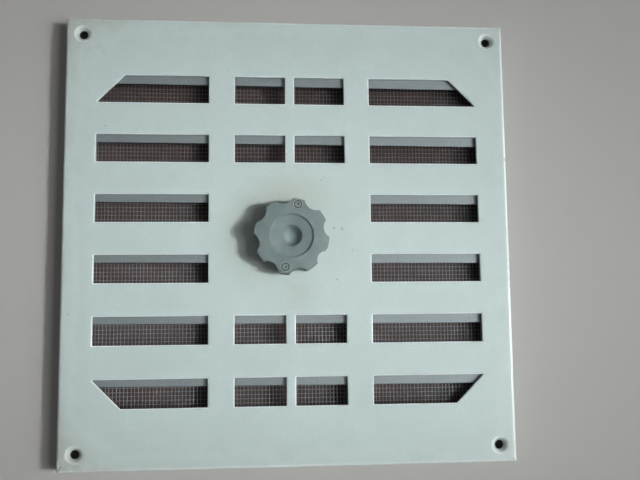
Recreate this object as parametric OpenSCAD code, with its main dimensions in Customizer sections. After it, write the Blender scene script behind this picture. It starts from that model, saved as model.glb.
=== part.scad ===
// Wall-mounted air grille with a sliding shutter behind slotted face plate.
// Lies face up: +Z leaves the wall, +Y is up in use, z = 0 is the rim that meets the wall.

/* [Face plate] */
// Side of the square face plate
plate_w = 200; // [198:0.5:206]
// Height of the face above the rear rim
tray_depth = 9.7; // [9.7:0.1:14]
// Thickness of the folded sheet
sheet_t = 1.0; // [0.8:0.1:1.0]
// Outer radius of the folded edges
bend_r = 1.5; // [1.2:0.1:2]

/* [Slots] */
// Distance between slot rows
row_pitch = 27; // [26.6:0.1:27.2]
// Height of every slot
slot_h = 12.4; // [10:0.1:12.6]
// Width of a long slot
long_w = 49.6; // [40:0.1:49.6]
// Distance from the centre line to the inner end of a long slot
long_in = 36.4; // [36:0.1:37]
// Width of a small slot
small_w = 22.7; // [18:0.1:24]
// Distance from the centre line to the inner end of a small slot
small_in = 2.1; // [1.5:0.1:3]

/* [Corner screw holes] */
// Distance of each screw hole from the centre lines
hole_at = 92.5; // [92:0.1:93]
// Diameter of the screw hole
hole_d = 4; // [3.5:0.1:4.5]
// Diameter of the pressed dimple around it
dimple_d = 8.6; // [8:0.1:9]
// Depth of the pressed dimple
dimple_depth = 1.3; // [1:0.1:1.5]

/* [Shutter] */
// Thickness of the shutter plate
shutter_t = 0.8; // [0.6:0.1:0.8]
// Gap between the face plate and the shutter
shutter_gap = 0.5; // [0.4:0.05:0.5]
// How far below fully open the shutter stands
rest_drop = 3.63; // [2:0.01:10]

/* [Knob and crank] */
// Radius of the knob over its lobes
knob_r = 16.55; // [15:0.05:18]
// Height of the knob
knob_h = 10.3; // [9.5:0.1:12]
// Direction of the first lobe, in degrees
lobe_dir = 33.4; // [0:0.1:44]
// Turn of the knob from closed to open, in degrees
knob_turn = 60; // [56:1:60]

/* [Screen] */
// Diameter of the screen wire
wire_d = 0.3; // [0.25:0.05:0.3]
// Spacing of the upright wires
warp_pitch = 1.5875; // [1.4:0.0125:2]
// Spacing of the level wires
weft_pitch = 1.8143; // [1.6:0.0143:2]

/* [Hidden] */
$fn = 64;
eps = 0.01;
through = 2;

// Face plate
half_w = plate_w / 2;
flat_half = half_w - bend_r;
inner_face = tray_depth - sheet_t;
seam_gap = 0.1;
flange_half = half_w - sheet_t - seam_gap;
relief_r = 0.6;
rows = 6;
function row_y(i) = row_pitch * (i - (rows - 1) / 2);
function is_end_row(i) = i == 0 || i == rows - 1;
function has_small(i) = abs(i - (rows - 1) / 2) > 1;
long_out = long_in + long_w;
dimple_r = dimple_d / 2;
dimple_floor_r = 3;
dimple_spread = 0.4;

// Shutter
travel = row_pitch / 2;
shutter_top = inner_face - shutter_gap;
shutter_back = shutter_top - shutter_t;
shutter_half = 89.5;
shutter_upper = 87.7;
shutter_lower = -78;
shutter_corner = 5;
mid_to_rest = travel / 2 - rest_drop;

// Guide rails, a Z section of thinner sheet
rail_t = 0.8;
rail_gap = 0.3;
rail_play = 0.4;
rail_lip_back = shutter_back - rail_gap - rail_t;
rail_web_x = shutter_half + rail_play;
rail_lip_x = 86.4;
rail_foot_x = 96.5;
rail_half = 86;

// Knob, spindle and bush stack, from the front backwards
knob_top = tray_depth + 0.5 + knob_h;
knob_rim_z = tray_depth + 0.5;
bush_flange_t = 0.8;
bush_flange_r = 7;
bush_r = 5.5;
bush_collar_r = 6.1;
bush_collar_t = 0.2;
shaft_fit_r = 4;
shaft_play = 0.05;
face_play = 0.05;
thrust_t = 0.45;
hub_z = tray_depth + bush_flange_t + face_play + thrust_t;
hub_r = 6.5;
spindle_top = knob_top - 5;
cavity_top = knob_top - 4;
cavity_r = 12.4;
bush_back = shutter_back - 0.2;
wave_t = 0.35;
arm_front = bush_back - face_play - wave_t;
arm_t = 1;
arm_back = arm_front - arm_t;
clip_t = 0.4;
nose_r = 2;
nose_end = arm_back - 0.6;
tenon_r = 3;
tenon_flat = 2.2;
lobes = 8;
scallop_r = 5;
scallop_at = knob_r + 2.85;
recess_r = 9.5;
recess_depth = 0.8;
finger_r = 4.4;
finger_floor_r = 2.3;
finger_depth = 3.6;
mark_at = 14;
mark_r = 2.25;
mark_button_r = 1.6;
mark_depth = 0.4;

// Crank: the pin stays nearly in step with the turn of the knob
crank_r = travel / (2 * sin(knob_turn / 2));
rest_angle = mid_to_rest / travel * knob_turn;
arm_hub_r = 6.5;
arm_end_r = 4;
pin_r = 1.5;
pin_head_r = 2.2;
pin_head_t = 0.2;
pin_tail_t = 0.4;
roller_r = 2.4;
roller_play = 0.05;
roller_front = shutter_top;
roller_back = arm_front + 0.1;
pin_top = roller_front + pin_head_t;
yoke_play = 0.45;
yoke_r = roller_r + yoke_play;
yoke_in = crank_r * cos(knob_turn / 2) - 0.05;
yoke_out = crank_r + 0.05;
window_r = bush_r + 0.7;
window_run = travel - 0.7;

// Screen, its seat strips and clamp strips
screen_front = 4.9;
screen_half = 92.6;
screen_corner = 176;
hem_w = 1;
hem_t = wire_d * 2 / 3;
strip_t = 0.8;
strip_half = 83;
strip_in = 90.3;
seat_out = half_w - sheet_t;
seat_leg_z = 1.2;
clamp_front = screen_front - 2 * wire_d;
clamp_out = 97.9;
rivet_at = 95.3;
rivet_spread = 66;
rivet_r = 1.2;
rivet_head_r = 2.1;
rivet_head_t = 0.8;
rivet_tail_t = 0.5;

module face_plate() {
  color("#dfe5e4")
  difference() {
    union() {
      translate([-flat_half, -flat_half, inner_face])
        cube([2 * flat_half, 2 * flat_half, sheet_t]);
      for (side = [0:3]) rotate([0, 0, 90 * side]) folded_edge();
      each_corner() dimple_metal();
    }
    face_slots(inner_face);
    each_corner() dimple_hollow();
    each_corner() cylinder(h = 3 * tray_depth, d = hole_d, center = true);
    each_relief() cylinder(h = 3 * tray_depth, r = relief_r, center = true);
    translate([0, 0, inner_face - eps]) cylinder(h = sheet_t + 2 * eps, r = bush_r);
  }
}

module folded_edge() {
  translate([0, flat_half, 0]) rotate([90, 0, 0]) linear_extrude(height = 2 * flat_half)
    translate([flat_half, tray_depth - bend_r])
      intersection() {
        difference() {
          circle(r = bend_r);
          circle(r = bend_r - sheet_t);
        }
        square(bend_r);
      }
  translate([half_w - sheet_t, -flange_half, 0])
    cube([sheet_t, 2 * flange_half, tray_depth - bend_r]);
}

module each_corner() {
  for (x = [-1, 1], y = [-1, 1]) translate([x * hole_at, y * hole_at, 0]) children();
}

module each_relief() {
  for (x = [-1, 1], y = [-1, 1]) translate([x * flat_half, y * flat_half, 0]) children();
}

module dimple_metal() {
  rotate_extrude() polygon([
    [0, inner_face - dimple_depth],
    [dimple_floor_r + dimple_spread, inner_face - dimple_depth],
    [dimple_r + dimple_spread, inner_face],
    [dimple_r + dimple_spread, tray_depth],
    [0, tray_depth]
  ]);
}

module dimple_hollow() {
  rotate_extrude() polygon([
    [0, tray_depth - dimple_depth],
    [dimple_floor_r, tray_depth - dimple_depth],
    [dimple_r, tray_depth],
    [dimple_r, tray_depth + through],
    [0, tray_depth + through]
  ]);
}

// The end rows have their outer corners cut off at 45 degrees.
module face_slots(z) {
  for (i = [0:rows - 1], side = [0, 1])
    mirror([side, 0, 0]) translate([0, row_y(i), z - through])
      linear_extrude(height = sheet_t + 2 * through)
        if (is_end_row(i)) mirror([0, i == 0 ? 1 : 0]) end_slot_outline();
        else translate([long_in, -slot_h / 2]) square([long_w, slot_h]);
  small_slots(z, sheet_t);
}

module end_slot_outline() {
  polygon([
    [long_in, -slot_h / 2],
    [long_out, -slot_h / 2],
    [long_out - slot_h, slot_h / 2],
    [long_in, slot_h / 2]
  ]);
}

module small_slots(z, t) {
  for (i = [0:rows - 1], side = [0, 1])
    if (has_small(i))
      mirror([side, 0, 0]) translate([small_in, row_y(i) - slot_h / 2, z - through])
        cube([small_w, slot_h, t + 2 * through]);
}

// The shutter is drawn with its slots in line with the face slots, then let down to its rest place.
module shutter_plate() {
  color("#9a9da0")
  translate([0, -rest_drop, shutter_back])
  difference() {
    linear_extrude(height = shutter_t) polygon(shutter_outline());
    for (i = [0:rows - 1], side = [0, 1])
      mirror([side, 0, 0]) translate([long_in, row_y(i) - slot_h / 2, -through])
        cube([long_w, slot_h, shutter_t + 2 * through]);
    small_slots(0, shutter_t);
    translate([0, travel / 2, -through]) {
      round_slot([0, -window_run / 2], [0, window_run / 2], window_r);
      round_slot([yoke_in, 0], [yoke_out, 0], yoke_r);
    }
  }
}

function shutter_outline() = [
  [-shutter_half + shutter_corner, shutter_lower],
  [shutter_half - shutter_corner, shutter_lower],
  [shutter_half, shutter_lower + shutter_corner],
  [shutter_half, shutter_upper - shutter_corner],
  [shutter_half - shutter_corner, shutter_upper],
  [-shutter_half + shutter_corner, shutter_upper],
  [-shutter_half, shutter_upper - shutter_corner],
  [-shutter_half, shutter_lower + shutter_corner]
];

// A straight slot with round ends between two points that share an x or a y.
module round_slot(from, to, r) {
  h = shutter_t + 2 * through;
  run = to - from;
  level = abs(run[0]) > abs(run[1]);
  for (p = [from, to]) translate([p[0], p[1], 0]) cylinder(h = h, r = r);
  translate(level ? [from[0], from[1] - r, 0] : [from[0] - r, from[1], 0])
    cube(level ? [run[0], 2 * r, h] : [2 * r, run[1], h]);
}

module guide_rail(side) {
  color("#a4a7a8")
  mirror([side, 0, 0]) rotate([90, 0, 0])
    linear_extrude(height = 2 * rail_half, center = true)
      polygon([
        [rail_lip_x, rail_lip_back],
        [rail_web_x + rail_t, rail_lip_back],
        [rail_web_x + rail_t, inner_face - rail_t],
        [rail_foot_x, inner_face - rail_t],
        [rail_foot_x, inner_face],
        [rail_web_x, inner_face],
        [rail_web_x, rail_lip_back + rail_t],
        [rail_lip_x, rail_lip_back + rail_t]
      ]);
}

module guide_rail_left() {
  guide_rail(1);
}

module guide_rail_right() {
  guide_rail(0);
}

// Moulded bush, snapped into the face plate: flange in front, thin collar behind.
module spindle_bush() {
  color("#2f3133")
  difference() {
    union() {
      translate([0, 0, tray_depth]) cylinder(h = bush_flange_t, r = bush_flange_r);
      translate([0, 0, bush_back]) cylinder(h = tray_depth - bush_back, r = bush_r);
      translate([0, 0, inner_face - bush_collar_t]) cylinder(h = bush_collar_t, r = bush_collar_r);
    }
    cylinder(h = 3 * tray_depth, r = shaft_fit_r);
  }
}

module ring(outer, inner, low, thick) {
  difference() {
    translate([0, 0, low]) cylinder(h = thick, r = outer);
    translate([0, 0, low - through]) cylinder(h = thick + 2 * through, r = inner);
  }
}

module thrust_washer() {
  color("#e8e6df") ring(hub_r - 0.1, shaft_fit_r + 0.1, hub_z - thrust_t, thrust_t);
}

module wave_washer() {
  color("#b9bbbd") ring(bush_r, shaft_fit_r + 0.1, arm_front, wave_t);
}

module d_bar(r, flat, h) {
  intersection() {
    cylinder(h = h, r = r);
    translate([-r, -r, 0]) cube([2 * r, r + flat, h]);
  }
}

module double_d_bar(r, flat, h) {
  intersection() {
    cylinder(h = h, r = r);
    translate([-r, -flat, 0]) cube([2 * r, 2 * flat, h]);
  }
}

// The top of the spindle is a D that the knob is pressed onto.
module spindle() {
  color("#b0a27a")
  rotate([0, 0, rest_angle]) {
    translate([0, 0, hub_z]) d_bar(shaft_fit_r - shaft_play, shaft_fit_r - 1, spindle_top - hub_z);
    translate([0, 0, arm_front]) cylinder(h = hub_z - arm_front, r = shaft_fit_r - shaft_play);
    translate([0, 0, arm_back]) double_d_bar(tenon_r, tenon_flat, arm_t);
    translate([0, 0, nose_end]) cylinder(h = arm_back - nose_end, r = nose_r);
  }
}

module star_knob() {
  color("#7d8483")
  difference() {
    rotate_extrude() polygon([
      [0, hub_z],
      [hub_r, hub_z],
      [hub_r, cavity_top],
      [cavity_r, cavity_top],
      [cavity_r, knob_rim_z],
      [knob_r, knob_rim_z],
      [knob_r, knob_top - 0.5],
      [knob_r - 0.5, knob_top],
      [recess_r, knob_top],
      [recess_r - 0.4, knob_top - recess_depth],
      [finger_r, knob_top - recess_depth],
      [finger_floor_r, knob_top - finger_depth],
      [0, knob_top - finger_depth]
    ]);
    for (i = [0:lobes - 1])
      rotate([0, 0, lobe_dir + (i + 0.5) * 360 / lobes]) translate([scallop_at, 0, 0])
        cylinder(h = 3 * knob_top, r = scallop_r, center = true);
    for (i = [1, 5])
      rotate([0, 0, lobe_dir + i * 360 / lobes]) translate([mark_at, 0, 0])
        ring(mark_r, mark_button_r, knob_top - mark_depth, mark_depth + through);
    rotate([0, 0, rest_angle]) translate([0, 0, hub_z - eps])
      d_bar(shaft_fit_r - shaft_play, shaft_fit_r - 1, spindle_top - hub_z + eps);
  }
}

// Outline of the arm: two round ends joined by their common tangents.
module crank_arm() {
  lean = acos((arm_hub_r - arm_end_r) / crank_r);
  near = [arm_hub_r * cos(lean), arm_hub_r * sin(lean)];
  far = [crank_r + arm_end_r * cos(lean), arm_end_r * sin(lean)];
  color("#a2a5a6")
  rotate([0, 0, rest_angle]) translate([0, 0, arm_back])
  difference() {
    union() {
      cylinder(h = arm_t, r = arm_hub_r);
      translate([crank_r, 0, 0]) cylinder(h = arm_t, r = arm_end_r);
      linear_extrude(height = arm_t)
        polygon([near, [near[0], -near[1]], [far[0], -far[1]], far]);
    }
    translate([0, 0, -through]) double_d_bar(tenon_r, tenon_flat, arm_t + 2 * through);
    translate([crank_r, 0, -through]) cylinder(h = arm_t + 2 * through, r = pin_r);
  }
}

module at_crank_pin() {
  rotate([0, 0, rest_angle]) translate([crank_r, 0, 0]) children();
}

module crank_pin() {
  color("#c3c6c8")
  at_crank_pin() {
    translate([0, 0, arm_back - pin_tail_t]) cylinder(h = pin_tail_t, r = pin_head_r);
    translate([0, 0, arm_back]) cylinder(h = pin_top - arm_back, r = pin_r);
    translate([0, 0, pin_top - pin_head_t]) cylinder(h = pin_head_t, r = pin_head_r);
  }
}

module pin_roller() {
  color("#e3e1d6")
  at_crank_pin() ring(roller_r, pin_r + roller_play, roller_back, roller_front - roller_back);
}

// Push-on clip with six gripping teeth.
module spindle_clip() {
  color("#8d9092")
  difference() {
    ring(5, nose_r, arm_back - clip_t, clip_t);
    for (i = [0:5]) rotate([0, 0, i * 60]) translate([nose_r - 0.5, -0.3, arm_back - clip_t - through])
      cube([1.9, 0.6, clip_t + 2 * through]);
  }
}

// A wire stops at the hem, which follows the cut corners of the screen.
function wire_half(at) = min(screen_half, screen_corner - abs(at)) - hem_w / 2;

module screen_wires(pitch) {
  count = floor((screen_half - hem_w) / pitch);
  for (i = [-count:count])
    translate([i * pitch, 0, 0]) rotate([90, 0, 0])
      cylinder(h = 2 * wire_half(i * pitch), d = wire_d, center = true);
  linear_extrude(height = hem_t, center = true)
    difference() {
      polygon(hem_outline(screen_half, screen_corner));
      polygon(hem_outline(screen_half - hem_w, screen_corner - hem_w * sqrt(2)));
    }
}

function hem_outline(half, corner) = [
  for (i = [0:7])
    let (a = corner - half, quarter = floor(i / 2) * 90, y = i % 2 == 0 ? -a : a)
      [half * cos(quarter) - y * sin(quarter), half * sin(quarter) + y * cos(quarter)]
];

module screen_warp_wires() {
  color("#a7aaab")
  translate([0, 0, screen_front - wire_d / 2]) screen_wires(warp_pitch);
}

module screen_weft_wires() {
  color("#9fa2a3")
  translate([0, 0, screen_front - wire_d * 3 / 2]) rotate([0, 0, 90]) screen_wires(weft_pitch);
}

// Side 0 is +X, and each next side is a quarter turn on.
module screen_seat(side) {
  color("#c9cfce")
  rotate([0, 0, 90 * side])
  difference() {
    rotate([90, 0, 0]) linear_extrude(height = 2 * strip_half, center = true)
      polygon([
        [strip_in, screen_front],
        [seat_out - strip_t, screen_front],
        [seat_out - strip_t, seat_leg_z],
        [seat_out, seat_leg_z],
        [seat_out, screen_front + strip_t],
        [strip_in, screen_front + strip_t]
      ]);
    rivet_places() cylinder(h = 3 * tray_depth, r = rivet_r, center = true);
  }
}

module clamp_strip(side) {
  color("#b4b8b8")
  rotate([0, 0, 90 * side])
  difference() {
    translate([strip_in, -strip_half, clamp_front - strip_t])
      cube([clamp_out - strip_in, 2 * strip_half, strip_t]);
    rivet_places() cylinder(h = 3 * tray_depth, r = rivet_r, center = true);
  }
}

module rivet_places() {
  for (i = [-1:1]) translate([rivet_at, i * rivet_spread, 0]) children();
}

module clamp_rivets() {
  back = clamp_front - strip_t;
  front = screen_front + strip_t;
  color("#c0c3c5")
  for (side = [0:3]) rotate([0, 0, 90 * side]) rivet_places() {
    translate([0, 0, back - rivet_head_t]) cylinder(h = rivet_head_t, r = rivet_head_r);
    translate([0, 0, back]) cylinder(h = front - back, r = rivet_r);
    translate([0, 0, front]) cylinder(h = rivet_tail_t, r = rivet_head_r - 0.3);
  }
}

module screen_seat_right() {
  screen_seat(0);
}

module screen_seat_top() {
  screen_seat(1);
}

module screen_seat_left() {
  screen_seat(2);
}

module screen_seat_bottom() {
  screen_seat(3);
}

module clamp_strip_right() {
  clamp_strip(0);
}

module clamp_strip_top() {
  clamp_strip(1);
}

module clamp_strip_left() {
  clamp_strip(2);
}

module clamp_strip_bottom() {
  clamp_strip(3);
}

face_plate();
shutter_plate();
guide_rail_left();
guide_rail_right();
spindle_bush();
thrust_washer();
star_knob();
spindle();
wave_washer();
crank_arm();
crank_pin();
pin_roller();
spindle_clip();
screen_warp_wires();
screen_weft_wires();
screen_seat_top();
screen_seat_bottom();
screen_seat_left();
screen_seat_right();
clamp_strip_top();
clamp_strip_bottom();
clamp_strip_left();
clamp_strip_right();
clamp_rivets();
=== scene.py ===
from math import atan2, cos, pi, radians, sin, sqrt

import bmesh
import bpy
import numpy as np
from mathutils import Matrix, Vector
from mathutils.geometry import delaunay_2d_cdt


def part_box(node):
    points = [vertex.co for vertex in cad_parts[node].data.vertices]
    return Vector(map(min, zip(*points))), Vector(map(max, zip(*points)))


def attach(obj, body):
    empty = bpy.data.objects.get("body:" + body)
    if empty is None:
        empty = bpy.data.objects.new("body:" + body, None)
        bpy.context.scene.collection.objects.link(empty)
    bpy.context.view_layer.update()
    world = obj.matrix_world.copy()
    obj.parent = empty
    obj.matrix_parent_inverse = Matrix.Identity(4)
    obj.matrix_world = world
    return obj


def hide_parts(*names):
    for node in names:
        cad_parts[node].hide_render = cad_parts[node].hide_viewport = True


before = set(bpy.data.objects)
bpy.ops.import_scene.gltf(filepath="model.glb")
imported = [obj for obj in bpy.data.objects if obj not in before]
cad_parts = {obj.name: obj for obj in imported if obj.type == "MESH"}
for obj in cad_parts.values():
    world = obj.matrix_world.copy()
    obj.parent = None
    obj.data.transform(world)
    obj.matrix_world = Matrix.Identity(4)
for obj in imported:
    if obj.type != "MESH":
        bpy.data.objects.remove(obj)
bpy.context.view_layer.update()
MM = 0.001


# ---------------------------------------------------------------- dimensions, from the frame

def low_mm(node):
    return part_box(node)[0] / MM


def high_mm(node):
    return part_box(node)[1] / MM


HALF = high_mm("face_plate").x
FACE = high_mm("face_plate").z
SHEET = 1.0
INNER = FACE - SHEET
BEND = 1.5
FLAT = HALF - BEND
RELIEF = 0.35
PITCH = 27.0
SLOT_HIGH = 12.4
SLOT_CORNER = 0.3
LONG_IN, LONG_OUT = 36.4, 86.0
SMALL_IN, SMALL_OUT = 2.1, 24.8
ROWS = [(i - 2.5) * PITCH for i in range(6)]
SMALL_ROWS = [y for y in ROWS if abs(y) > PITCH]
HOLE_AT = 92.5
BUSH_HOLE = 5.5

KNOB_R = 16.55
LOBES = 8
LOBE_DIR = 33.4
SCALLOP_R, SCALLOP_AT = 5.0, 19.4
KNOB_STEPS = 320
GATE_MARK_AT = 14
GATE_MARK_DIRS = [radians(LOBE_DIR + turn) for turn in (45, 225)]
GATE_MARKS = [(GATE_MARK_AT * cos(a), GATE_MARK_AT * sin(a)) for a in GATE_MARK_DIRS]

# Small brown marks on the face: X, Y and size in millimetres.
SPECKS = [(19.6, 4.6, 0.7), (23.2, 4.2, 0.8), (27.8, -5.4, 0.45), (20.5, -18.6, 0.5), (14.2, 26.4, 0.45),
          (15.8, 27.6, 0.35), (-82, 50.4, 0.55), (99.6, 36.5, 1.1), (-96.5, -33, 0.5), (-98, -97.5, 0.8)]


# ---------------------------------------------------------------- finishes

class Value:
    """A socket that carries a number or a colour; its operators add Math nodes behind it."""

    def __init__(self, finish, socket):
        self.finish = finish
        self.socket = socket

    def __add__(self, other):
        return self.finish.math("ADD", self, other)

    def __radd__(self, other):
        return self.finish.math("ADD", other, self)

    def __sub__(self, other):
        return self.finish.math("SUBTRACT", self, other)

    def __rsub__(self, other):
        return self.finish.math("SUBTRACT", other, self)

    def __mul__(self, other):
        return self.finish.math("MULTIPLY", self, other)

    def __rmul__(self, other):
        return self.finish.math("MULTIPLY", other, self)

    def __pow__(self, other):
        return self.finish.math("POWER", self, other)

    def between(self, low, high):
        """0 below low, 1 above high, and smooth from one to the other."""
        return self.finish.node(
            "ShaderNodeMapRange",
            {"interpolation_type": "SMOOTHSTEP"},
            {"Value": self, "From Min": low, "From Max": high},
        )


class Finish:
    """A material whose shader is built from expressions on values."""

    def __init__(self, name, metallic=0.0, specular=0.5):
        self.material = bpy.data.materials.new(name)
        self.material.use_nodes = True
        self.tree = self.material.node_tree
        self.shader = self.tree.nodes["Principled BSDF"]
        self.shader.inputs["Metallic"].default_value = metallic
        self.shader.inputs["Specular IOR Level"].default_value = specular
        self.place = self.node("ShaderNodeTexCoord", {}, {}, "Object")

    def node(self, kind, settings, sockets, out=0):
        """Adds a node: its settings first, then each socket's value or link."""
        made = self.tree.nodes.new(kind)
        for key, value in settings.items():
            setattr(made, key, value)
        for key, value in sockets.items():
            self.feed(made.inputs[key], value)
        return Value(self, made.outputs[out])

    def feed(self, socket, value):
        if isinstance(value, Value):
            self.tree.links.new(value.socket, socket)
        else:
            socket.default_value = value

    def math(self, operation, *terms):
        return self.node("ShaderNodeMath", {"operation": operation}, dict(enumerate(terms)))

    def at(self, stretch=(1, 1, 1)):
        """The place on the part in millimetres, stretched along each axis."""
        scale = [s / MM for s in stretch]
        return self.node("ShaderNodeVectorMath", {"operation": "MULTIPLY"}, {0: self.place, 1: scale})

    def part(self, axis):
        """The place along one axis, in millimetres."""
        return self.node("ShaderNodeSeparateXYZ", {}, {0: self.at()}, axis)

    def noise(self, size, detail=2.0, rough=0.5, stretch=(1, 1, 1)):
        """Noise of about size millimetres from light to dark, near 0.5 on average."""
        return self.node(
            "ShaderNodeTexNoise",
            {},
            {"Vector": self.at(stretch), "Scale": 1 / size, "Detail": detail, "Roughness": rough},
        )

    def cells(self, size, output):
        return self.node("ShaderNodeTexVoronoi", {}, {"Vector": self.at(), "Scale": 1 / size}, output)

    def mix(self, factor, first, second):
        """The first colour, going to the second as factor goes from 0 to 1."""
        return self.node("ShaderNodeMix", {"data_type": "RGBA"}, {0: factor, 6: first, 7: second}, 2)

    def done(self, colour, roughness, height, depth):
        """Feeds the shader. height is a bump of that depth in millimetres."""
        bump = self.node("ShaderNodeBump", {}, {"Height": height, "Distance": depth * MM, "Strength": 1.0})
        self.feed(self.shader.inputs["Base Color"], colour)
        self.feed(self.shader.inputs["Roughness"], roughness)
        self.feed(self.shader.inputs["Normal"], bump)
        return self.material


def rgb(red, green, blue):
    return (red, green, blue, 1.0)


def gap_to(x, y, at_x, at_y):
    """How far a place is from a point, seen from the front, in millimetres."""
    across, along = x - at_x, y - at_y
    return (across * across + along * along) ** 0.5


def band(value, start, full, fade, end):
    """1 from full to fade, and 0 before start and after end."""
    return value.between(start, full) * (1 - value.between(fade, end))


def rim_grime(f, x, y, film):
    """Grime along the plate's rim and in its corners, less of it towards the right."""
    across, along = f.math("ABSOLUTE", x), f.math("ABSOLUTE", y)
    rim = f.math("MAXIMUM", across, along).between(90, 100)
    corner = (across + along).between(160, 198)
    to_left = 1 - 0.65 * x.between(-80, 60)
    return (rim * 0.5 + corner) * to_left * film.between(0.3, 0.66)


def knob_shadow_and_grime(x, y, film):
    """Painted soft shadow of the knob, strongest above and to the left where its shadow falls, over a faint
    brownish ring of grime all round it.
    """
    upper_left = 0.35 + 0.65 * (y - x).between(-18, 22)
    return (1 - gap_to(x, y, 0, 0).between(16, 37)) * upper_left * film.between(0.2, 0.55)


def face_specks(x, y, z):
    """The small brown marks, kept off the folded edges."""
    marks = sum(1 - gap_to(x, y, at_x, at_y).between(size * 0.5, size) for at_x, at_y, size in SPECKS)
    return marks * z.between(FACE - 0.9, FACE - 0.3)


def scattered(f, spacing, dot, channel, chosen):
    """Dots, one to a cell of that spacing, in the cells whose random channel is past chosen."""
    gap = f.cells(spacing, "Distance")
    lot = f.node("ShaderNodeSeparateColor", {}, {0: f.cells(spacing, "Color")}, channel)
    return (1 - gap.between(*dot)) * lot.between(*chosen)


def white_enamel():
    """Baked enamel on sheet: an orange peel, a painted highlight on the rolled edges and bends, grime, a
    painted soft shadow round the knob, a grey patch below it, specks and dust.
    """
    f = Finish("white_enamel", specular=0.6)
    x, y, z = f.part("X"), f.part("Y"), f.part("Z")
    cloud = f.noise(42, 3)
    patch = f.noise(9, 4, 0.6)
    film = f.noise(17, 5, 0.7)
    peel = f.noise(1.1, 2, 0.55)
    grain = f.noise(0.35, 2, 0.6)
    # The rolled slot edges and the outer bends, where the enamel gets a painted highlight.
    rolled = (1 - z.between(FACE - 0.05, FACE - 0.002)) * z.between(FACE - 0.8, FACE - 0.3)
    grime = rim_grime(f, x, y, film)
    shadow_and_grime = knob_shadow_and_grime(x, y, film)
    # A soft grey darkening of the face below the knob.
    grey_patch_below_knob = (1 - gap_to(x, y, 5, -27).between(3, 13)) * patch.between(0.3, 0.6)
    dots = scattered(f, 13, (0.012, 0.03), "Red", (0.55, 0.6))
    dust = scattered(f, 5.5, (0.02, 0.05), "Green", (0.8, 0.85))

    colour = f.mix(cloud.between(0.3, 0.7), rgb(0.632, 0.722, 0.706), rgb(0.648, 0.739, 0.723))
    colour = f.mix(patch.between(0.5, 0.8) * 0.05, colour, rgb(0.60, 0.65, 0.62))
    # Painted highlight: the rolled edges and bends are mixed towards near white.
    colour = f.mix(rolled * 0.85, colour, rgb(0.90, 0.95, 0.95))
    colour = f.mix(grime * 0.5, colour, rgb(0.46, 0.44, 0.35))
    # Painted soft shadow of the knob, brownish, with a little grime round it.
    colour = f.mix(shadow_and_grime * 0.45, colour, rgb(0.47, 0.46, 0.35))
    colour = f.mix(grey_patch_below_knob * 0.22, colour, rgb(0.47, 0.49, 0.47))
    colour = f.mix(face_specks(x, y, z) * 0.42, colour, rgb(0.22, 0.18, 0.13))
    colour = f.mix(dots * 0.55, colour, rgb(0.20, 0.20, 0.17))
    colour = f.mix(dust * 0.3, colour, rgb(0.36, 0.37, 0.33))
    roughness = 0.23 + 0.03 * film + 0.05 * grain + 0.12 * grime
    return f.done(colour, roughness, peel * 0.8 + grain * 0.25, 0.012)


def zinc(name, dark, light, dull, roughness, streak=0.5):
    """Zinc-plated sheet: a fine matt crystalline grain, faint rolling along X and soft stains."""
    f = Finish(name, metallic=0.55, specular=0.4)
    grain = f.noise(0.55, 3, 0.75)
    rolled = f.noise(0.6, 3, 0.6, (0.12, 1, 1))
    stain = f.noise(14, 4, 0.6)
    colour = f.mix(grain.between(0.32, 0.68), dark, light)
    colour = f.mix(rolled.between(0.35, 0.7) * streak * 0.4, colour, dark)
    colour = f.mix(stain.between(0.5, 0.8) * 0.35, colour, dull)
    return f.done(colour, roughness + 0.12 * stain + 0.12 * grain, grain * 0.8 + rolled * 0.3 * streak, 0.01)


def drawn_wire():
    """Drawn aluminium wire, oxidised in patches and a little dusty."""
    f = Finish("screen_wire", metallic=1.0)
    oxide = f.noise(6, 4, 0.6)
    grain = f.noise(0.2, 2, 0.6)
    colour = f.mix(oxide.between(0.3, 0.75), rgb(0.30, 0.315, 0.34), rgb(0.19, 0.20, 0.22))
    colour = f.mix(grain.between(0.5, 0.8) * 0.4, colour, rgb(0.10, 0.10, 0.10))
    return f.done(colour, 0.25 + 0.2 * oxide, grain, 0.005)


def moulded(name, dark, light, roughness, specular=0.45, marks=()):
    """Moulded plastic: a fine spark-eroded skin with faint flow marks and dust.

    marks are the middles of its gate marks, with painted highlights on their rims and painted shade in their
    grooves and middle hollows."""
    f = Finish(name, specular=specular)
    flow = f.noise(7, 3, 0.55)
    skin = f.noise(0.18, 3, 0.7)
    dust = f.noise(0.8, 4, 0.7)
    colour = f.mix(flow.between(0.3, 0.7), dark, light)
    colour = f.mix(dust.between(0.56, 0.8) * 0.3, colour, light)
    colour = f.mix(skin.between(0.5, 0.75) * 0.18, colour, dark)
    for mark in marks:
        off = gap_to(f.part("X"), f.part("Y"), *mark)
        painted_rim_highlights = band(off, 1.84, 1.94, 2.1, 2.2) + band(off, 0.8, 0.9, 1.15, 1.27)
        painted_groove_shade = band(off, 1.27, 1.4, 1.75, 1.85) + 0.4 * (1 - off.between(0.5, 0.7))
        # Painted highlight on the gate marks' raised rims.
        colour = f.mix(painted_rim_highlights * 0.55, colour, rgb(0.50, 0.54, 0.53))
        # Painted shade in the gate marks' grooves and middle hollows.
        colour = f.mix(painted_groove_shade * 0.6, colour, rgb(0.05, 0.055, 0.05))
    return f.done(colour, roughness + 0.1 * flow + 0.06 * skin, skin + 0.3 * dust, 0.012)


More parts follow.
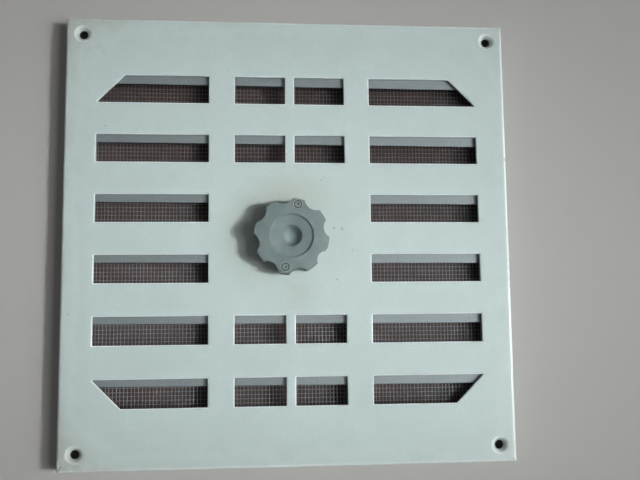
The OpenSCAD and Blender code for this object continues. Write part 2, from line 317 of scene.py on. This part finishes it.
def turned_metal(name, dark, light, roughness):
    """Metal turned or stamped about the spindle: fine rings, with tarnish."""
    f = Finish(name, metallic=1.0)
    rings = f.math("SINE", gap_to(f.part("X"), f.part("Y"), 0, 0) * 22)
    tarnish = f.noise(3, 4, 0.6)
    scratch = f.noise(0.3, 2, 0.6, (0.2, 1, 1))
    colour = f.mix(tarnish.between(0.3, 0.75), light, dark)
    return f.done(colour, roughness + 0.16 * tarnish + 0.08 * scratch, rings * 0.25 + scratch, 0.006)


def pale_floor():
    f = Finish("pale_floor", specular=0.2)
    cloud = f.noise(180, 2)
    colour = f.mix(cloud, rgb(0.50, 0.475, 0.455), rgb(0.53, 0.50, 0.48))
    return f.done(colour, 0.75 + 0.1 * cloud, f.noise(1.5, 2), 0.01)


def brown_board():
    f = Finish("brown_board", specular=0.2)
    fleck = f.noise(1.2, 4, 0.7)
    colour = f.mix(fleck.between(0.35, 0.65), rgb(0.100, 0.066, 0.058), rgb(0.148, 0.097, 0.086))
    return f.done(colour, 0.7 + 0.1 * fleck, fleck, 0.02)


enamel = white_enamel()
shutter_zinc = zinc(
    "shutter_zinc", rgb(0.262, 0.29, 0.30), rgb(0.357, 0.39, 0.402), rgb(0.28, 0.305, 0.305), 0.46, 0.3
)
bright_zinc = zinc("bright_zinc", rgb(0.50, 0.51, 0.52), rgb(0.68, 0.69, 0.70), rgb(0.55, 0.54, 0.50), 0.30)
wire_metal = drawn_wire()
knob_plastic = moulded(
    "grey_plastic", rgb(0.182, 0.230, 0.230), rgb(0.228, 0.278, 0.279), 0.37, 0.55, GATE_MARKS
)
black_nylon = moulded("black_nylon", rgb(0.012, 0.013, 0.014), rgb(0.03, 0.03, 0.032), 0.38)
pale_nylon = moulded("pale_nylon", rgb(0.62, 0.60, 0.53), rgb(0.74, 0.72, 0.66), 0.42)
brass = turned_metal("brass", rgb(0.42, 0.31, 0.13), rgb(0.72, 0.56, 0.28), 0.26)
spring_steel = turned_metal("spring_steel", rgb(0.36, 0.36, 0.37), rgb(0.60, 0.60, 0.61), 0.28)
rivet_metal = turned_metal("rivet_aluminium", rgb(0.60, 0.61, 0.62), rgb(0.82, 0.83, 0.84), 0.3)


# ---------------------------------------------------------------- sheet work

def rounded_outline(corners, radius, grow=0.0, steps=5):
    """Points anticlockwise round a convex outline with rounded corners, pushed outwards by grow."""
    points = []
    count = len(corners)
    for i in range(count):
        before, here, after = (Vector(corners[(i + k) % count]) for k in (-1, 0, 1))
        come, go = (here - before).normalized(), (after - here).normalized()
        out_come, out_go = Vector((come.y, -come.x)), Vector((go.y, -go.x))
        centre = here - radius * (out_come + out_go) / (1 + out_come.dot(out_go))
        start = atan2(out_come.y, out_come.x)
        turn = (atan2(out_go.y, out_go.x) - start) % (2 * pi)
        for k in range(steps + 1):
            a = start + turn * k / steps
            points.append(centre + (radius + grow) * Vector((cos(a), sin(a))))
    return points


def circle(radius, centre=(0, 0), count=48):
    return [Vector(centre) + radius * Vector((cos(a), sin(a))) for a in np.arange(count) * 2 * pi / count]


def box_corners(left, low, right, high):
    return [(left, low), (right, low), (right, high), (left, high)]


class Sheet:
    """A mesh built from rings of vertices, in millimetres."""

    def __init__(self):
        self.mesh = bmesh.new()

    def ring(self, points, z):
        """z is one height, or one for each point."""
        heights = z if hasattr(z, "__len__") else [z] * len(points)
        return [self.mesh.verts.new((p[0], p[1], h)) for p, h in zip(points, heights)]

    def bridge(self, upper, lower):
        """Faces between two rings that match point for point."""
        for i, top in enumerate(upper):
            j = (i + 1) % len(upper)
            self.mesh.faces.new((top, lower[i], lower[j], upper[j]))

    def chain(self, rings):
        for upper, lower in zip(rings, rings[1:]):
            self.bridge(upper, lower)

    def fan(self, ring, z):
        """Closes a ring with a point at its middle."""
        middle = sum((v.co for v in ring), Vector()) / len(ring)
        tip = self.mesh.verts.new((middle.x, middle.y, z))
        for i, v in enumerate(ring):
            self.mesh.faces.new((v, tip, ring[(i + 1) % len(ring)]))

    def fill(self, *rings):
        """A flat face with the first ring as its outline and the others, all convex, as holes."""
        verts, edges, ring_of = [], [], []
        for number, ring in enumerate(rings):
            first = len(verts)
            edges += [(first + i, first + (i + 1) % len(ring)) for i in range(len(ring))]
            verts += ring
            ring_of += [number] * len(ring)
        inside_outline = 1
        result = delaunay_2d_cdt([v.co.xy for v in verts], edges, [], inside_outline, 1e-6)
        source = [same[0] for same in result[3]]
        for face in result[2]:
            corners = [source[i] for i in face]
            owners = {ring_of[i] for i in corners}
            if len(owners) > 1 or 0 in owners:
                self.mesh.faces.new([verts[i] for i in corners])

    def piece(self, name, material, body, *nodes, slot, sharp=38):
        """Makes the object, lets it ride on its body and stand for its CAD nodes."""
        bmesh.ops.scale(self.mesh, vec=(MM, MM, MM), verts=self.mesh.verts)
        bmesh.ops.recalc_face_normals(self.mesh, faces=self.mesh.faces)
        data = bpy.data.meshes.new(name)
        self.mesh.to_mesh(data)
        self.mesh.free()
        return settle(name, data, material, body, nodes, sharp)


def settle(name, data, material, body, nodes, sharp):
    data.polygons.foreach_set("use_smooth", [True] * len(data.polygons))
    data.set_sharp_from_angle(angle=radians(sharp))
    data.materials.append(material)
    made = bpy.data.objects.new(name, data)
    bpy.context.scene.collection.objects.link(made)
    made.modifiers.new("even shading", "WEIGHTED_NORMAL").keep_sharp = True
    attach(made, body)
    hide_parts(*nodes)
    return made


def rolled_edge(sheet, outline, top, low, roll, support=0.25, back_roll=0.1, steps=5, flat=1.0):
    """The wall of a punched hole: rolled over at its front, broken at its back.

    outline(grow) gives the hole's points. flat is how deep the roll is for its width.
    The first and last rings are returned."""
    rings = [sheet.ring(outline(roll + support), top)]
    for k in range(steps + 1):
        a = pi / 2 * k / steps
        rings.append(sheet.ring(outline(roll * (1 - sin(a))), top - roll * flat * (1 - cos(a))))
    rings.append(sheet.ring(outline(0), low + back_roll))
    rings.append(sheet.ring(outline(back_roll), low))
    rings.append(sheet.ring(outline(back_roll + support), low))
    sheet.chain(rings)
    return rings[0], rings[-1]


def slot_corners():
    """The corners of every slot in the face: the end rows lose their outer corners at 45 degrees."""
    half = SLOT_HIGH / 2
    for y in ROWS:
        for side in (-1, 1):
            top_out = side * (LONG_OUT - SLOT_HIGH if y > 2 * PITCH else LONG_OUT)
            low_out = side * (LONG_OUT - SLOT_HIGH if y < -2 * PITCH else LONG_OUT)
            near = side * LONG_IN
            corners = [(near, y - half), (low_out, y - half), (top_out, y + half), (near, y + half)]
            yield corners[::side]
    for y in SMALL_ROWS:
        for side in (-1, 1):
            xs = sorted((side * SMALL_IN, side * SMALL_OUT))
            yield box_corners(xs[0], y - half, xs[1], y + half)


# ---------------------------------------------------------------- face plate

def tray_outline(inset):
    """The flat of the face plate: a square whose corners are bitten out by the relief holes."""
    points = []
    edge, bite = FLAT - inset, RELIEF + inset
    for quarter in range(4):
        turn = Matrix.Rotation(quarter * pi / 2, 2)
        points.append(turn @ Vector((edge, -FLAT + bite)))
        points.append(turn @ Vector((edge, FLAT - bite)))
        for k in range(1, 6):
            a = -pi / 2 - pi / 2 * k / 6
            points.append(turn @ Vector((FLAT + bite * cos(a), FLAT + bite * sin(a))))
    return points


def folded_side(sheet, top, under, quarter):
    """One folded edge, from its two ends on the flat: round the bend, down, and back up inside."""
    turn = Matrix.Rotation(quarter * pi / 2, 4, "Z")
    steps, relief_steps = 8, 1
    mitre_gap = 0.04

    def level(x, z, at_relief=False):
        """Two points of the edge, at the round of the relief holes or on the mitres."""
        end = x - mitre_gap
        if at_relief:
            end = FLAT - sqrt(RELIEF ** 2 - (x - FLAT) ** 2)
        return [sheet.mesh.verts.new(turn @ Vector((x, s * end, z))) for s in (-1, 1)]

    outer, inner = [top], [under]
    for k in range(1, steps + 1):
        a = pi / 2 * k / steps
        for skin, radius in ((outer, BEND), (inner, BEND - SHEET)):
            skin.append(level(FLAT + radius * sin(a), FACE - BEND + radius * cos(a), k <= relief_steps))
    broken = 0.2
    outer += [level(HALF, broken), level(HALF - broken, 0)]
    inner += [level(HALF - SHEET, broken), level(HALF - SHEET + broken, 0)]
    new_face = sheet.mesh.faces.new
    for (a, b), (c, d) in zip(outer, outer[1:]):
        new_face((a, b, d, c))
    for (a, b), (c, d) in zip(inner, inner[1:]):
        new_face((a, c, d, b))
    new_face((*outer[-1], *reversed(inner[-1])))
    for end in (0, 1):
        for k in range(len(outer) - 1):
            new_face((outer[k][end], outer[k + 1][end], inner[k + 1][end], inner[k][end]))


def dimple_rings(sheet, centre):
    """A pressed dimple round a screw hole, front and back. Returns the rings on the two flats."""
    wide, narrow, deep, hole = 4.2, 2.15, 1.45, 2.0
    steps = 8

    def fall(t):
        """The funnel's depth, from the flat at 0 to the hole at 1."""
        return deep * t * t * (1.35 - 0.35 * t)

    down = [k / steps for k in range(steps + 1)]
    front = [(wide + 0.3, FACE)]
    front += [(wide + (narrow - wide) * t, FACE - fall(t)) for t in down]
    front.append((hole, FACE - deep - 0.2))
    back = [(hole, INNER - deep + 0.15), (hole + 0.15, INNER - deep)]
    back += [(narrow + 0.5 + (wide - narrow) * t, INNER - fall(1 - t)) for t in down]
    back.append((wide + 0.9, INNER))
    rings = [sheet.ring(circle(r, centre), z) for r, z in front + back]
    sheet.chain(rings)
    return rings[0], rings[-1]


def face_plate():
    """The folded tray: its four sides, its slots and dimples, and the two flats between them."""
    sheet = Sheet()
    border = 0.3
    top, under = sheet.ring(tray_outline(0), FACE), sheet.ring(tray_outline(0), INNER)
    top_in, under_in = sheet.ring(tray_outline(border), FACE), sheet.ring(tray_outline(border), INNER)
    sheet.bridge(top_in, top)
    sheet.bridge(under, under_in)
    per_side = len(top) // 4
    for quarter in range(4):
        first = quarter * per_side
        folded_side(sheet, top[first:first + 2], under[first:first + 2], quarter)
        for k in range(first + 1, first + per_side):
            j = (k + 1) % len(top)
            sheet.mesh.faces.new((top[k], under[k], under[j], top[j]))
    fronts, backs = [top_in], [under_in]
    for corners in slot_corners():
        front, back = rolled_edge(
            sheet,
            lambda grow: rounded_outline(corners, SLOT_CORNER, grow),
            FACE, INNER, roll=0.7, steps=7, flat=0.5,
        )
        fronts.append(front)
        backs.append(back)
    for x in (-HOLE_AT, HOLE_AT):
        for y in (-HOLE_AT, HOLE_AT):
            front, back = dimple_rings(sheet, (x, y))
            fronts.append(front)
            backs.append(back)
    front, back = rolled_edge(sheet, lambda grow: circle(BUSH_HOLE + grow), FACE, INNER, roll=0.1)
    sheet.fill(*fronts, front)
    sheet.fill(*backs, back)
    return sheet.piece("face_plate_folded", enamel, "frame", "face_plate", slot="white_paint")


# ---------------------------------------------------------------- shutter

def long_hole(start, end, radius, grow, steps=16):
    """A slot with round ends between two points, as an outline."""
    start, end = Vector(start), Vector(end)
    heading = atan2(end.y - start.y, end.x - start.x)
    points = []
    for centre, first in ((end, -pi / 2), (start, pi / 2)):
        for k in range(steps + 1):
            a = heading + first + pi * k / steps
            points.append(centre + (radius + grow) * Vector((cos(a), sin(a))))
    return points


OPEN_TOP = 87.7      # the shutter's upper edge when its slots line up with the slots of the face
SETTLED = 0.45       # how far its front lies behind the CAD sheet's
STRETCH = 0.9985     # its slot pitch over the pitch of the face
LEAN = -0.25         # its turn in the play of the rails, in degrees


def shutter_plate():
    """The shutter sheet, with its slots, the spindle's window and the roller's level slot."""
    low, high = low_mm("shutter_plate"), high_mm("shutter_plate")
    drop = OPEN_TOP - high.y
    high.z -= SETTLED
    wide, cut = high.x, 5
    sheet = Sheet()
    outline = [
        (-wide + cut, low.y), (wide - cut, low.y), (wide, low.y + cut), (wide, high.y - cut),
        (wide - cut, high.y), (-wide + cut, high.y), (-wide, high.y - cut), (-wide, low.y + cut),
    ]
    edge = [(-0.3, high.z), (-0.12, high.z), (-0.03, high.z - 0.03), (0, high.z - 0.12),
            (0, low.z + 0.05), (-0.05, low.z), (-0.3, low.z)]
    rings = [sheet.ring(rounded_outline(outline, 1.0, grow), z) for grow, z in edge]
    sheet.chain(rings)
    fronts, backs = [rings[0]], [rings[-1]]

    def punch(hole, roll):
        front, back = rolled_edge(sheet, hole, high.z, low.z, roll, support=0.2, back_roll=0.05, steps=3)
        fronts.append(front)
        backs.append(back)

    half = SLOT_HIGH / 2
    holes = [(LONG_IN, LONG_OUT, y) for y in ROWS] + [(SMALL_IN, SMALL_OUT, y) for y in SMALL_ROWS]
    for near, far, y in holes:
        y = y * STRETCH - drop
        for side in (-1, 1):
            xs = sorted((side * near, side * far))
            corners = box_corners(xs[0], y - half, xs[1], y + half)
            punch(lambda grow: rounded_outline(corners, SLOT_CORNER, grow), 0.15)
    lift = PITCH / 4 - drop
    travel = 6.4
    punch(lambda grow: long_hole((0, lift - travel), (0, lift + travel), 6.2, grow), 0.12)
    punch(lambda grow: long_hole((11.65, lift), (13.55, lift), 2.85, grow), 0.12)
    sheet.fill(*fronts)
    sheet.fill(*backs)
    turn = Matrix.Rotation(radians(LEAN), 3, "Z")
    bmesh.ops.rotate(sheet.mesh, cent=(0, 0, 0), matrix=turn, verts=sheet.mesh.verts)
    return sheet.piece("shutter_sheet", shutter_zinc, "shutter", "shutter_plate", slot="shutter_zinc")


# ---------------------------------------------------------------- knob

RECESS_R = 9.85

# Radius, and height over the top: from the edge of the recess down to the finger dimple.
DISH = [(RECESS_R, -0.005), (9.68, -0.02), (9.56, -0.09), (9.2, -0.60), (9.1, -0.71), (8.9, -0.78),
        (8.6, -0.82), (6.6, -0.98), (4.95, -1.16), (4.75, -1.2), (4.62, -1.3), (4.22, -1.75), (4.08, -2.0),
        (3.9, -2.5), (3.55, -3.1), (2.9, -3.7), (2.0, -4.15), (1.0, -4.34)]
DISH_BOTTOM = -4.37

# The same for a gate mark: a raised rim, a groove, a raised ring and a hollow.
GATE_MARK = [(2.2, 0), (2.14, 0.08), (2.02, 0.12), (1.9, 0.06), (1.82, -0.3), (1.7, -0.5), (1.5, -0.5),
             (1.36, -0.3), (1.28, 0.04), (1.12, 0.1), (0.9, 0.05), (0.72, -0.3), (0.35, -0.45)]
GATE_MARK_BOTTOM = -0.48


def star_radius(a):
    """Distance from the axis to the knob's side in direction a: a circle with scallops."""
    step = 2 * pi / LOBES
    off = (a - radians(LOBE_DIR)) % step - step / 2
    reach = SCALLOP_AT * sin(abs(off))
    if reach >= SCALLOP_R:
        return KNOB_R
    scallop = SCALLOP_AT * cos(off) - sqrt(SCALLOP_R ** 2 - reach ** 2)
    soft = 0.22
    blend = max(soft - abs(KNOB_R - scallop), 0) / soft
    return min(KNOB_R, scallop) - blend * blend * soft / 4


def star(grow):
    turns = np.arange(KNOB_STEPS) * 2 * pi / KNOB_STEPS
    return [(star_radius(a) + grow) * Vector((cos(a), sin(a))) for a in turns]


def star_knob():
    """The knob: a hollow star with a hub inside, and on top its recess, dimple and gate marks."""
    top, rim = high_mm("star_knob").z, low_mm("star_knob").z
    hub, hub_r, bore_r, bore_deep = 11.0, 6.5, 3.96, 3
    ceiling = top - 4
    hollow_r = 12.5
    sheet = Sheet()

    def crown(point):
        """Height of the top, which falls away a little outside the recess."""
        out = max(point.length - RECESS_R, 0)
        return top - 0.045 * out - 0.008 * out * out

    def disc(radius, z):
        return sheet.ring(circle(radius, (0, 0), KNOB_STEPS), z)

    inside = [(bore_r, hub + bore_deep), (bore_r, hub), (hub_r, hub), (hub_r - 0.1, ceiling - 0.2),
              (hub_r + 0.1, ceiling), (hollow_r - 0.2, ceiling), (hollow_r, ceiling - 0.2),
              (hollow_r + 0.2, rim + 0.2), (hollow_r + 0.4, rim)]
    shell = [disc(r, z) for r, z in inside]
    shell += [sheet.ring(star(g), z) for g, z in ((-0.5, rim), (-0.15, rim + 0.05), (0, rim + 0.25))]
    roll = 0.25
    for k in range(6):
        a = pi / 2 * k / 5
        points = star(-roll * (1 - cos(a)))
        shell.append(sheet.ring(points, [crown(p) - roll + roll * sin(a) for p in points]))
    points = star(-roll - 0.05)
    shell.append(sheet.ring(points, [crown(p) for p in points]))
    sheet.chain(shell)
    dish = [disc(r, top + z) for r, z in DISH]
    sheet.chain(dish)
    sheet.fan(dish[-1], top + DISH_BOTTOM)
    marks = []
    for centre in GATE_MARKS:
        rings = []
        for r, z in GATE_MARK:
            points = circle(r, centre, 40)
            rings.append(sheet.ring(points, [crown(p) + z for p in points]))
        sheet.chain(rings)
        sheet.fan(rings[-1], crown(Vector(centre)) + GATE_MARK_BOTTOM)
        marks.append(rings[0])
    sheet.fill(shell[-1], dish[0], *marks)
    return sheet.piece("knob_moulding", knob_plastic, "knob", "star_knob", slot="grey_plastic")


# ---------------------------------------------------------------- insect screen

WIRE = 0.3
WIRE_SIDES = 6
WARP_PITCH, WEFT_PITCH = 1.5875, 1.8143
SCREEN_HALF, SCREEN_CORNER = 92.6, 176.0
HANG = 0.5
KNOB_CLEAR = 14


def bulge(x, y, at, wide, tall):
    return np.exp(-(((x - at) / wide) ** 2) - (y / tall) ** 2)


def sag(x, y):
    """Height of the screen over its clamped rim.

    It hangs back, most of all at the left, and bows a little forward at the right."""
    forward = 0.8 * bulge(x, y, 60, 20, 95)
    back = 0.9 * bulge(x, y, -38, 28, 80)
    hold = np.clip((SCREEN_HALF - np.maximum(abs(x), abs(y))) / 12, 0, 1)
    clear = np.clip((np.hypot(x, y) - KNOB_CLEAR) / 16, 0, 1)
    return (forward * clear - back - HANG) * hold * hold * (3 - 2 * hold)


def wire_limit(at):
    return min(SCREEN_HALF, SCREEN_CORNER - abs(at)) - 0.3


def wire_line(i, pitch, cross, middle, crimp, up, rng):
    """Points along the middle of wire number i, from end to end with one at each crossing."""
    at = i * pitch
    limit = wire_limit(at)
    reach = int(limit / cross)
    j = np.arange(-reach, reach + 1)
    along = np.concatenate(([-limit], j * cross, [limit]))
    over = np.concatenate(([0], np.where((i + j) % 2 == 0, 1, -1), [0])) * (1 if up else -1)
    wander = 0.07 * np.sin(along / rng.uniform(11, 30) + rng.uniform(0, 6.3)) + rng.normal(0, 0.03)
    side = at + wander
    x, y = (side, along) if up else (along, side)
    return np.stack((x, y, middle + over * crimp + sag(x, y)), -1)


def wire_tube(line, up, base):
    """Points and faces of a wire round its line. base is the number of its first point."""
    spin = np.arange(WIRE_SIDES) * 2 * pi / WIRE_SIDES + pi / 6
    across, rise, none = WIRE / 2 * np.cos(spin), WIRE / 2 * np.sin(spin), np.zeros(WIRE_SIDES)
    section = np.stack((across, none, rise) if up else (none, across, rise), -1)
    points = (line[:, None, :] + section).reshape(-1, 3)
    k = np.arange(len(line) - 1)[:, None] * WIRE_SIDES
    s = np.arange(WIRE_SIDES)[None, :]
    t = (s + 1) % WIRE_SIDES
    quads = np.stack((k + s, k + t, k + WIRE_SIDES + t, k + WIRE_SIDES + s), -1).reshape(-1, 4) + base
    faces = (quads if up else quads[:, ::-1]).tolist()
    first = list(range(base, base + WIRE_SIDES))
    last = list(range(base + len(points) - WIRE_SIDES, base + len(points)))
    faces += [first[::-1], last] if up else [first, last[::-1]]
    return points, faces


def woven_wires(name, node, pitch, cross, middle, crimp, up, seed):
    """One set of wires, each passing over and under the wires of the other set.

    up says whether the wires run along Y; cross is the spacing of the wires they pass.
    crimp is how far a wire swings at each crossing; the dipped wires are bonded into each other there."""
    rng = np.random.default_rng(seed)
    points, faces = [], []
    base = 0
    count = int((SCREEN_HALF - 1) / pitch)
    for i in range(-count, count + 1):
        line = wire_line(i, pitch, cross, middle, crimp, up, rng)
        wire_points, wire_faces = wire_tube(line, up, base)
        points.append(wire_points)
        faces += wire_faces
        base += len(wire_points)
    data = bpy.data.meshes.new(name)
    data.from_pydata((np.concatenate(points) * MM).tolist(), [], faces)
    data.update()
    return settle(name, data, wire_metal, "frame", [node], 180)


def screen():
    middle = (high_mm("screen_warp_wires").z + low_mm("screen_weft_wires").z) / 2
    woven_wires("warp_wires", "screen_warp_wires", WARP_PITCH, WEFT_PITCH, middle, 0.05, True, 11)
    woven_wires("weft_wires", "screen_weft_wires", WEFT_PITCH, WARP_PITCH, middle, 0.10, False, 12)


# ---------------------------------------------------------------- small hardware

def soften(node, width, material):
    """A CAD node keeps its shape: it gets its finish and its sharp corners are broken."""
    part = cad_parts[node]
    part.data.materials.clear()
    part.data.materials.append(material)
    bevel = part.modifiers.new("broken corners", "BEVEL")
    bevel.width = width * MM
    bevel.segments = 2
    bevel.limit_method = "ANGLE"
    bevel.angle_limit = radians(35)


RIVETS_IN, RIVET_GAP = 95.3, 66


def rivets():
    """Blind rivets: a domed head with its mandrel hole behind, a set tail in front."""
    back, front = 3.5, 5.7
    head = [(0.45, -0.5), (0.5, -0.78), (0.8, -0.8), (1.4, -0.68), (1.9, -0.36), (2.1, -0.1), (2.08, 0),
            (1.2, 0)]
    tail = [(1.2, 0), (1.75, 0), (1.8, 0.15), (1.6, 0.42), (1.1, 0.5)]
    profile = [(r, back + z) for r, z in head] + [(r, front + z) for r, z in tail]
    sheet = Sheet()
    for quarter in range(4):
        for along in (-RIVET_GAP, 0, RIVET_GAP):
            a = quarter * pi / 2
            centre = (RIVETS_IN * cos(a) - along * sin(a), RIVETS_IN * sin(a) + along * cos(a))
            rings = [sheet.ring(circle(r, centre, 24), z) for r, z in profile]
            sheet.chain(rings)
            sheet.fan(rings[0], back - 0.3)
            sheet.fan(rings[-1], front + 0.45)
    return sheet.piece("blind_rivets", rivet_metal, "frame", "clamp_rivets", slot="rivet_aluminium")


def wave_washer():
    """A thin ring pressed into three waves."""
    low, high = low_mm("wave_washer").z, high_mm("wave_washer").z
    outer, inner, thick = high_mm("wave_washer").x, 4.1, 0.15
    middle, swing = (low + high) / 2, (high - low - thick) / 2
    count = 72
    turn = np.arange(count) * 2 * pi / count
    wave = middle + swing * np.sin(3 * turn)
    sheet = Sheet()
    rings = [sheet.ring(circle(r, (0, 0), count), (wave + s * thick / 2).tolist())
             for r, s in ((inner, 1), (outer, 1), (outer, -1), (inner, -1))]
    sheet.chain([*rings, rings[0]])
    return sheet.piece("waved_ring", spring_steel, "knob", "wave_washer", slot="spring_steel")


def hardware():
    for side in ("left", "right"):
        soften(f"guide_rail_{side}", 0.25, bright_zinc)
    for side in ("top", "bottom", "left", "right"):
        soften(f"screen_seat_{side}", 0.2, enamel)
        soften(f"clamp_strip_{side}", 0.15, bright_zinc)
    soften("spindle_bush", 0.12, black_nylon)
    soften("thrust_washer", 0.08, pale_nylon)
    soften("spindle", 0.12, brass)
    soften("crank_arm", 0.12, bright_zinc)
    soften("crank_pin", 0.06, spring_steel)
    soften("pin_roller", 0.1, pale_nylon)
    soften("spindle_clip", 0.05, spring_steel)


# ---------------------------------------------------------------- stage

def sheet_on_stage(name, size, height, material):
    """A square sheet about the origin, its size and height in metres."""
    data = bpy.data.meshes.new(name)
    half = size / 2
    corners = [(-half, -half, height), (half, -half, height), (half, half, height), (-half, half, height)]
    data.from_pydata(corners, [], [(0, 1, 2, 3)])
    data.materials.append(material)
    made = bpy.data.objects.new(name, data)
    bpy.context.scene.collection.objects.link(made)


def stage():
    """A pale floor, with a sheet of brown board under the tray for the screen to show against."""
    sheet_on_stage("floor", 8, -0.0002, pale_floor())
    sheet_on_stage("underlay", 0.18, -0.0001, brown_board())


def look_at(place, aim):
    """A frame at place whose -Z points to aim, with the part's +Y up in its view."""
    back = (Vector(place) - Vector(aim)).normalized()
    right = Vector((0, 1, 0)).cross(back).normalized()
    up = back.cross(right)
    axes = Matrix((right, up, back)).transposed().to_4x4()
    return Matrix.Translation(place) @ axes


LIGHT_HEIGHT = 46.8


def soft_light(name, distance, size, power, spread, centre, swing):
    """A soft light to the part's right, LIGHT_HEIGHT degrees over the floor. Lengths are in metres.

    It looks at the place centre right of the origin; swing is its turn about Z from +X, in degrees."""
    height, swing = radians(LIGHT_HEIGHT), radians(swing)
    away = Vector((cos(height) * cos(swing), cos(height) * sin(swing), sin(height)))
    data = bpy.data.lights.new(name, "AREA")
    data.shape = "RECTANGLE"
    data.size, data.size_y = size
    data.energy = power
    data.color = (0.94, 1.0, 1.0)
    data.spread = radians(spread)
    aim = Vector((centre, -0.008, 0))
    made = bpy.data.objects.new(name, data)
    made.matrix_world = look_at(aim + distance * away, aim)
    bpy.context.scene.collection.objects.link(made)


def window_light():
    """A wide window, and a small narrow pool of light that brightens the plate's middle."""
    soft_light("window", 2.2, (1.5, 0.95), 23.8, 180, 0.012, -8)
    soft_light("pool", 1.5, (0.25, 0.25), 0.13, 13, -0.006, -4)


def room_light():
    """The dim, slightly cool light of the rest of the room."""
    world = bpy.data.worlds.new("room")
    world.use_nodes = True
    background = world.node_tree.nodes["Background"]
    background.inputs["Color"].default_value = rgb(0.96, 0.98, 1.0)
    background.inputs["Strength"].default_value = 0.115
    bpy.context.scene.world = world


def camera():
    """Stands over the plate, a little left of and below its middle."""
    place = Vector((-18.4, -40.7, 366.6)) * MM
    aim = Vector((13.2, -0.9, FACE)) * MM
    data = bpy.data.cameras.new("camera")
    data.sensor_width = 36
    data.lens = 45.3
    data.clip_start = 0.01
    made = bpy.data.objects.new("camera", data)
    roll = Matrix.Rotation(radians(-0.64), 4, "Z")
    made.matrix_world = look_at(place, aim) @ roll
    bpy.context.scene.collection.objects.link(made)
    bpy.context.scene.camera = made


bpy.context.scene.view_settings.view_transform = "Standard"
camera()
window_light()
room_light()
stage()
face_plate()
shutter_plate()
star_knob()
screen()
rivets()
wave_washer()
hardware()
